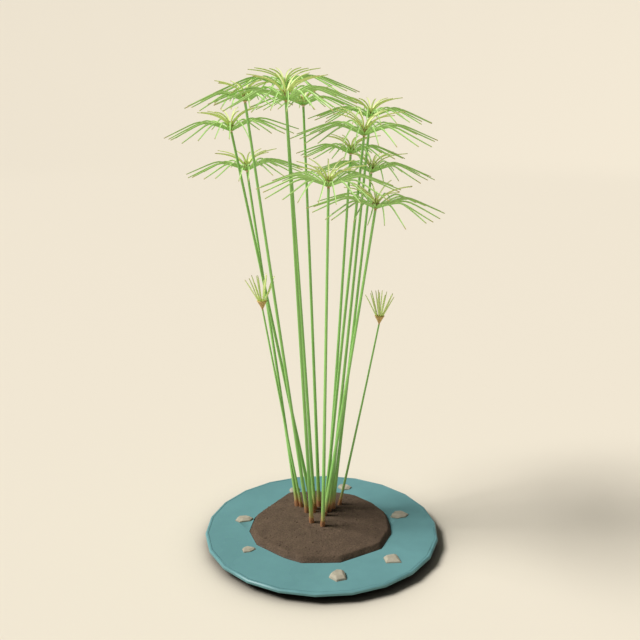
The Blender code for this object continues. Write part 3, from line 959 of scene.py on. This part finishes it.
def build_young_umbel(number, node, stem_node, template, finishes, settings):
    """A young umbel: a ribbed cup of brown bracts and a narrow fan of straight upright rays."""
    chance = random.Random(700 + number)
    foot, head = stem_ends(stem_node)
    bm = bmesh.new()
    layer = bm.verts.layers.float_vector.new("ray_place")
    body = spin_profile(in_mm(CUP_OUTLINE), 24)
    for vert in body.verts:
        angle = angle_of(vert.co) if vert.co.xy.length > 1e-5 else 0.0
        share = vert.co.z / CUP_HEIGHT
        vert.co.xy *= 1 + 0.05 * cos(8 * angle) * share
        vert.co.z += 0.5 * MM * cos(8 * angle) * share ** 6
    add_solid(bm, body, layer, 2)
    outer = settings.tuft_rays
    for k in range(outer + INNER_TUFT_RAYS):
        inside = k >= outer
        angle = tau * k / (INNER_TUFT_RAYS if inside else outer) + radians(chance.uniform(-9, 9))
        tip_out, tip_up, root_out = TUFT_INNER if inside else (TUFT_ODD if k % 2 else TUFT_EVEN)
        spread = tip_out * chance.uniform(0.94, 1.0) * MM
        rise = tip_up * chance.uniform(0.95, 1.0) * MM
        root = polar(angle, root_out * MM, 12.4 * MM)
        tip = polar(angle, spread, rise)
        points = [root, root.lerp(tip, 0.33), root.lerp(tip, 0.66) + Vector((0, 0, 0.6 * MM)), tip]
        path = smooth_points(points, RAY_STEPS)
        lay_ray(bm, layer, template, path, settings.tuft_width * chance.uniform(0.9, 1.1),
                settings.tuft_width, chance.random(), 1)
    bmesh.ops.transform(bm, matrix=head_frame(foot, head, CUP_LEAN), verts=bm.verts)
    return add_piece("tuft_of_" + node, bm, finishes, [node], 50)


# ---------------------------------------------------------------- stage

def build_stage(settings):
    """Floor that rises gently far away, one soft sun, sky light and the camera."""
    rise = [(FLOOR_FLAT + FLOOR_BEND * sin(radians(a)), FLOOR_BEND - FLOOR_BEND * cos(radians(a)))
            for a in range(0, FLOOR_SLOPE + 1, 2)]
    slope = radians(FLOOR_SLOPE)
    far = (rise[-1][0] + FLOOR_FAR * cos(slope), rise[-1][1] + FLOOR_FAR * sin(slope))
    bm = spin_line([(radius, 0.0, height) for radius, height in [(0.0, 0.0), *rise, far]], 96, 0.1 * MM)
    bmesh.ops.recalc_face_normals(bm, faces=bm.faces)
    if bm.faces[0].normal.z < 0:
        bmesh.ops.reverse_faces(bm, faces=bm.faces)
    mesh = to_mesh("floor", bm)
    mesh.shade_smooth()
    mesh.materials.append(floor_material(settings.floor))
    floor = bpy.data.objects.new("floor", mesh)
    link(floor)

    sun = bpy.data.lights.new("sun", "SUN")
    sun.energy = settings.sun
    sun.angle = radians(settings.softness)
    sun.color = (1.0, 0.985, 0.96)
    lamp = bpy.data.objects.new("sun", sun)
    high = radians(settings.sun_height)
    towards = Vector((cos(high), 0.085, -sin(high)))
    lamp.rotation_euler = towards.to_track_quat("-Z", "Y").to_euler()
    lamp.location = (-2, 0, 3)
    link(lamp)

    world = bpy.data.worlds.new("sky")
    world.use_nodes = True
    sky = world.node_tree.nodes["Background"]
    sky.inputs["Color"].default_value = (1.0, 0.985, 0.965, 1.0)
    sky.inputs["Strength"].default_value = settings.sky
    bpy.context.scene.world = world

    camera = bpy.data.cameras.new("camera")
    camera.lens = settings.lens
    camera.sensor_width = 36.0
    camera.clip_end = 500
    eye = bpy.data.objects.new("camera", camera)
    eye.location = (-0.003, -settings.distance, settings.eye_height)
    eye.rotation_euler = (radians(90) - settings.pitch, 0, 0)
    link(eye)
    bpy.context.scene.camera = eye
    bpy.context.scene.view_settings.view_transform = "Standard"
    bpy.context.scene.view_settings.look = "None"


# ---------------------------------------------------------------- settings

def colour_setting(name, description, default):
    """A setting for a colour."""
    return FloatVectorProperty(name=name, description=description, subtype="COLOR", size=3, min=0, max=1,
                               default=default)


def length_setting(name, description, default):
    """A setting for a length in metres."""
    return FloatProperty(name=name, description=description, unit="LENGTH", default=default)


def count_setting(name, description, default, least):
    """A setting for a count."""
    return IntProperty(name=name, description=description, default=default, min=least)


class DishSettings(PropertyGroup):
    """The dish."""

    glaze: colour_setting("Glaze", "Colour of the glaze", (0.135, 0.300, 0.312))
    corner_round: length_setting("Corner round", "Softness of the dish's corners", 0.5 * MM)


class WaterSettings(PropertyGroup):
    """The water."""

    colour: colour_setting("Colour", "Colour of the cloudy water", (0.138, 0.302, 0.312))
    climb: length_setting("Climb", "How far the water climbs what it touches", 0.75 * MM)
    reach: length_setting("Reach", "How far its edge runs out onto the lip", 1.3 * MM)


class SoilSettings(PropertyGroup):
    """The soil mound."""

    colour: colour_setting("Colour", "Colour of the soil", (0.126, 0.085, 0.056))
    rings: count_setting("Rings", "Rings in the mound's grid", 56, 8)
    around: count_setting("Around", "Steps round the mound's grid", 200, 24)
    lump: length_setting("Lumps", "Height of the soil's lumps", 0.7 * MM)
    crumbs: count_setting("Crumbs", "Loose crumbs on the mound", 1300, 0)
    crumb_size: length_setting("Crumb size", "Radius of a large crumb", 1.1 * MM)


class StoneSettings(PropertyGroup):
    """The stones."""

    colour: colour_setting("Colour", "Colour of the stones", (0.42, 0.385, 0.30))
    breaks: count_setting("Breaks", "Extra broken faces on each stone", 2, 0)
    wear: length_setting("Wear", "Roundness of the stones' edges", 0.22 * MM)
    skin: length_setting("Skin", "Roughness of the stones' skin", 0.12 * MM)


class StemSettings(PropertyGroup):
    """Stems and their sheaths."""

    colour: colour_setting("Green", "Colour of the stems", (0.29, 0.60, 0.15))
    sheath: colour_setting("Sheath", "Colour of the dry sheaths", (0.46, 0.225, 0.105))
    foot_radius: length_setting("Foot radius", "Radius of a full-grown stem at its foot", 3.7 * MM)
    head_radius: length_setting("Head radius", "Radius of a full-grown stem at its head", 1.95 * MM)
    bow: length_setting("Bow", "How far a stem bows sideways", 0.8 * MM)


class UmbelSettings(PropertyGroup):
    """Umbels, full-grown and young."""

    outer: colour_setting("Outer rays", "Colour of the arching rays", (0.56, 0.86, 0.29))
    inner: colour_setting("Inner rays", "Colour of the upright rays", (0.84, 0.96, 0.41))
    hub: colour_setting("Hub", "Colour of the hubs", (0.40, 0.33, 0.12))
    cup: colour_setting("Cup", "Colour of the young umbels' bract cups", (0.64, 0.44, 0.17))
    outer_rays: count_setting("Outer rays", "Arching rays on each umbel", 22, 6)
    inner_rays: count_setting("Inner rays", "Upright rays on each umbel", 10, 0)
    tuft_rays: count_setting("Tuft rays", "Outer rays on each young umbel", 10, 4)
    spikelets: count_setting("Spikelets", "Small brown flower spikes on each hub", 7, 0)
    spikelet_length: length_setting("Spikelet length", "Length of a flower spike", 9 * MM)
    ray_root: length_setting("Ray root", "How high on the hub the rays start", 3.5 * MM)
    ray_width: length_setting("Ray width", "Width of a ray", 2.5 * MM)
    ray_thickness: length_setting("Ray thickness", "Depth of a ray's fold", 3.0 * MM)
    tuft_width: length_setting("Tuft ray width", "Width of a young ray", 2.2 * MM)


class StageSettings(PropertyGroup):
    """Floor, light and camera."""

    floor: colour_setting("Floor", "Colour of the floor", (0.793, 0.729, 0.611))
    sun: FloatProperty(name="Sun", description="Strength of the sun", default=4.18, min=0)
    sun_height: FloatProperty(name="Sun height", description="Height of the sun in degrees", default=49.5)
    softness: FloatProperty(name="Softness", description="Width of the sun in degrees", default=24.0, min=0)
    sky: FloatProperty(name="Sky", description="Strength of the sky light", default=0.10, min=0)
    lens: FloatProperty(name="Lens", description="Focal length in millimetres", default=50.0)
    distance: length_setting("Distance", "Camera in front of the dish's middle", 1.389)
    eye_height: length_setting("Eye height", "Camera above the floor", 0.807)
    pitch: FloatProperty(name="Pitch", description="How far the camera looks down", subtype="ANGLE",
                         default=radians(16.41))


# ---------------------------------------------------------------- operators

class PAPYRUS_OT_dish(Operator):
    """Build the glazed dish"""

    bl_idname = "papyrus.dish"
    bl_label = "Dish"

    def execute(self, context):
        build_dish(context.scene.papyrus_dish)
        return {"FINISHED"}


class PAPYRUS_OT_water(Operator):
    """Fill the dish with water"""

    bl_idname = "papyrus.water"
    bl_label = "Water"

    def execute(self, context):
        build_water(context.scene.papyrus_water)
        return {"FINISHED"}


class PAPYRUS_OT_soil(Operator):
    """Build the soil mound and its crumbs"""

    bl_idname = "papyrus.soil"
    bl_label = "Soil"

    def execute(self, context):
        build_mound(context.scene.papyrus_soil)
        build_crumbs(context.scene.papyrus_soil)
        return {"FINISHED"}


class PAPYRUS_OT_stones(Operator):
    """Build the stones in the water"""

    bl_idname = "papyrus.stones"
    bl_label = "Stones"

    def execute(self, context):
        settings = context.scene.papyrus_stones
        finish = stone_material(settings.colour)
        for number, node in enumerate(nodes_named("stone_")):
            build_stone(number, node, finish, settings)
        return {"FINISHED"}


class PAPYRUS_OT_stems(Operator):
    """Build the stems and the dry sheaths round their feet"""

    bl_idname = "papyrus.stems"
    bl_label = "Stems and sheaths"

    def execute(self, context):
        settings = context.scene.papyrus_stems
        green = stem_material(settings.colour)
        dry = sheath_material(settings.sheath)
        for node in nodes_named("stem_") + nodes_named("young_stem_"):
            build_stem(node, green, settings)
            build_sheath(node.replace("stem", "sheath"), node, dry, settings)
        return {"FINISHED"}


class PAPYRUS_OT_umbels(Operator):
    """Build the full-grown and the young umbels"""

    bl_idname = "papyrus.umbels"
    bl_label = "Umbels"

    def execute(self, context):
        settings = context.scene.papyrus_umbels
        template = ray_template()
        dry = (0.50, 0.42, 0.17)
        brown = (0.44, 0.38, 0.17)
        olive = (0.36, 0.54, 0.16)
        tan = (0.56, 0.60, 0.22)
        orange = (0.74, 0.44, 0.19)
        finishes = [
            ray_material("ray_green", settings.outer, (0.33, 0.61, 0.15), olive,
                         (0.31, 0.52, 0.13), dry, 0.965),
            ray_material("ray_inner", settings.inner, (0.68, 0.80, 0.26), tan,
                         (0.52, 0.66, 0.20), dry, 0.965),
            hub_material("hub_brown", settings.hub, orange, 0.3),
            ray_material("spikelet", (0.46, 0.36, 0.14), (0.36, 0.26, 0.10), brown, (0.38, 0.38, 0.12),
                         (0.48, 0.34, 0.14), 0.8),
        ]
        young_finishes = [
            finishes[0],
            ray_material("ray_young", settings.inner, (0.62, 0.82, 0.28), tan, (0.60, 0.84, 0.24),
                         (0.60, 0.52, 0.28), 0.94),
            hub_material("bract_cup", settings.cup, orange, 0.25),
        ]
        stems = nodes_named("stem_") + nodes_named("young_stem_")
        lines = [stem_ends(node) for node in stems]
        laid = []
        for number, node in enumerate(nodes_named("umbel_")):
            build_umbel(number, node, lines, laid, template, finishes, settings)
        for number, node in enumerate(nodes_named("young_umbel_")):
            build_young_umbel(number, node, node.replace("umbel", "stem"), template, young_finishes, settings)
        bpy.data.meshes.remove(template)
        return {"FINISHED"}


class PAPYRUS_OT_stage(Operator):
    """Build the floor, the light and the camera"""

    bl_idname = "papyrus.stage"
    bl_label = "Stage"

    def execute(self, context):
        build_stage(context.scene.papyrus_stage)
        return {"FINISHED"}


class VIEW3D_PT_papyrus(Panel):
    """Buttons and sizes for the potted papyrus"""

    bl_idname = "VIEW3D_PT_papyrus"
    bl_label = "Potted papyrus"
    bl_space_type = "VIEW_3D"
    bl_region_type = "UI"
    bl_category = "Papyrus"

    def draw(self, context):
        for operator, group in STEPS:
            box = self.layout.box()
            box.operator(operator.bl_idname)
            settings = getattr(context.scene, group)
            for name in settings.bl_rna.properties.keys():
                if name not in {"rna_type", "name"}:
                    box.prop(settings, name)


STEPS = (
    (PAPYRUS_OT_stage, "papyrus_stage"),
    (PAPYRUS_OT_dish, "papyrus_dish"),
    (PAPYRUS_OT_water, "papyrus_water"),
    (PAPYRUS_OT_soil, "papyrus_soil"),
    (PAPYRUS_OT_stones, "papyrus_stones"),
    (PAPYRUS_OT_stems, "papyrus_stems"),
    (PAPYRUS_OT_umbels, "papyrus_umbels"),
)
GROUPS = (StageSettings, DishSettings, WaterSettings, SoilSettings, StoneSettings, StemSettings,
          UmbelSettings)


def register():
    """Register the settings, the operators and the panel."""
    for group in GROUPS:
        bpy.utils.register_class(group)
    for (operator, name), group in zip(STEPS, GROUPS):
        bpy.utils.register_class(operator)
        setattr(bpy.types.Scene, name, PointerProperty(type=group))
    bpy.utils.register_class(VIEW3D_PT_papyrus)


def unregister():
    """Undo register."""
    bpy.utils.unregister_class(VIEW3D_PT_papyrus)
    for (operator, name), group in zip(STEPS, GROUPS):
        delattr(bpy.types.Scene, name)
        bpy.utils.unregister_class(operator)
        bpy.utils.unregister_class(group)


def main():
    """Clear the scene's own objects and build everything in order."""
    register()
    for name in ("Cube", "Light", "Camera"):
        if name in bpy.data.objects:
            bpy.data.objects.remove(bpy.data.objects[name])
    bpy.ops.papyrus.stage()
    bpy.ops.papyrus.dish()
    bpy.ops.papyrus.water()
    bpy.ops.papyrus.soil()
    bpy.ops.papyrus.stones()
    bpy.ops.papyrus.stems()
    bpy.ops.papyrus.umbels()


if __name__ == "__main__":
    main()
